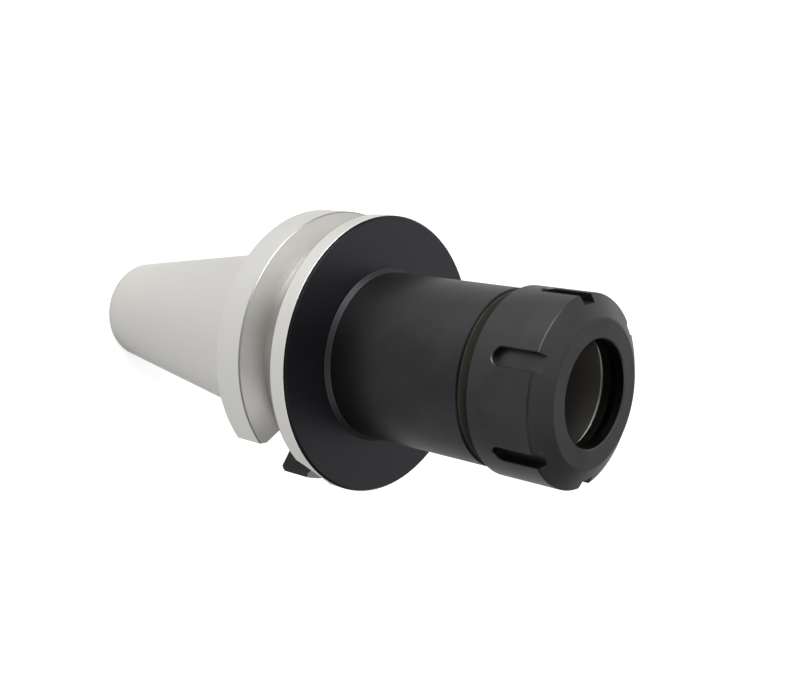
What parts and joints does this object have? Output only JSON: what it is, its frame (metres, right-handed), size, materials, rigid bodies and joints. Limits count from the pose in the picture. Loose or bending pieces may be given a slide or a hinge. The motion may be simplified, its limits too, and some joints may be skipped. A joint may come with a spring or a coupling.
{
  "type": "collet chuck holder",
  "caption": "Steep-taper tool holder with a V-grooved flange, two drive slots, a cylindrical body and a slotted collet nut on its threaded nose.",
  "frame": {"origin": "on the axis, at the gauge plane of the 7/24 taper (where it is 69.85 mm across)", "axes": "+Z along the axis from the drawbar end to the clamping nut; +X through the middle of one drive slot; it stands on the small end of the taper, which faces -Z"},
  "size_m": [0.1, 0.1, 0.2274],
  "materials": {
    "holder_steel": "case-hardened steel, ground on taper and flange, black oxide on body",
    "nut_steel": "black oxide steel, fine turned",
    "ring_steel": "black oxide spring steel"
  },
  "bodies": {
    "holder": {"holder_body": "holder_steel"},
    "ring": {"extraction_ring": "ring_steel"},
    "nut": {"clamping_nut": "nut_steel"}
  },
  "joints": [
    {"name": "nut_travel", "type": "slide", "parent": "holder", "child": "ring", "axis": [0, 0, 1], "range_m": [0, 0.0143]},
    {"name": "nut_turn", "type": "hinge", "parent": "ring", "child": "nut", "pos_m": [0, 0, 0.1074], "axis": [0, 0, 1], "range_deg": [0, 3420]}
  ],
  "couplings": [
    {"joint": "nut_travel", "follows": "nut_turn", "m_per_rad": 0.00023873}
  ]
}
